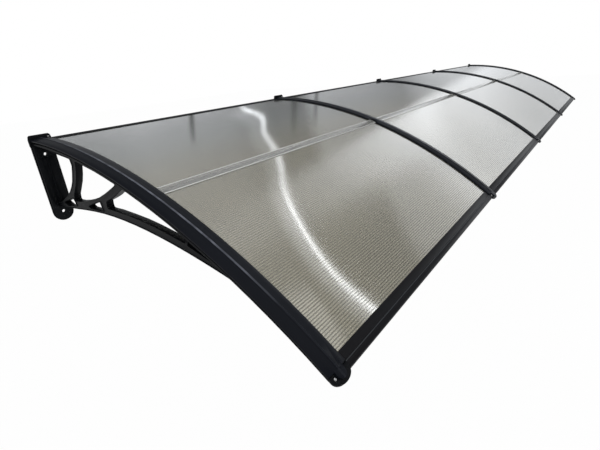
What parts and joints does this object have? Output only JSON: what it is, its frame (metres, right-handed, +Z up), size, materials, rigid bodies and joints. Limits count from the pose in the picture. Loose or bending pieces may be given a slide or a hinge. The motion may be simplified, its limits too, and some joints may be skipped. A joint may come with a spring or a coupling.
{
  "type": "polycarbonate door canopy",
  "caption": "Door canopy of clear twin-wall polycarbonate sheets on black moulded wall brackets, with cover strips over the joints and dark aluminium edge profiles.",
  "frame": {"origin": "on the wall plane, halfway between the two wall screw holes of the middle bracket", "axes": "+X along the wall, +Y into the wall, so the roof reaches out to -Y, +Z up"},
  "size_m": [4.057, 0.9489, 0.3672],
  "materials": {
    "black_plastic": "satin black moulded plastic",
    "cover_plastic": "satin black moulded plastic",
    "polycarbonate": "clear twin-wall sheet with fine cells across",
    "clear_joiner": "clear extruded strip",
    "dark_aluminium": "dark grey anodised",
    "screw_steel": "plain steel"
  },
  "bodies": {
    "root": {"bracket_1": "black_plastic", "bracket_2": "black_plastic", "bracket_3": "black_plastic", "bracket_4": "black_plastic", "bracket_5": "black_plastic", "cover_strip_1": "cover_plastic", "cover_strip_2": "cover_plastic", "cover_strip_3": "cover_plastic", "cover_strip_4": "cover_plastic", "cover_strip_5": "cover_plastic", "rear_screw_1": "screw_steel", "rear_screw_2": "screw_steel", "rear_screw_3": "screw_steel", "rear_screw_4": "screw_steel", "rear_screw_5": "screw_steel", "front_screw_1": "screw_steel", "front_screw_2": "screw_steel", "front_screw_3": "screw_steel", "front_screw_4": "screw_steel", "front_screw_5": "screw_steel", "rear_sheet_1": "polycarbonate", "rear_sheet_2": "polycarbonate", "rear_sheet_3": "polycarbonate", "rear_sheet_4": "polycarbonate", "front_sheet_1": "polycarbonate", "front_sheet_2": "polycarbonate", "front_sheet_3": "polycarbonate", "front_sheet_4": "polycarbonate", "seam_joiner_1": "clear_joiner", "seam_joiner_2": "clear_joiner", "seam_joiner_3": "clear_joiner", "seam_joiner_4": "clear_joiner", "front_profile_1": "dark_aluminium", "front_profile_2": "dark_aluminium", "front_profile_3": "dark_aluminium", "front_profile_4": "dark_aluminium", "rear_profile_1": "dark_aluminium", "rear_profile_2": "dark_aluminium", "rear_profile_3": "dark_aluminium", "rear_profile_4": "dark_aluminium"}
  },
  "joints": []
}
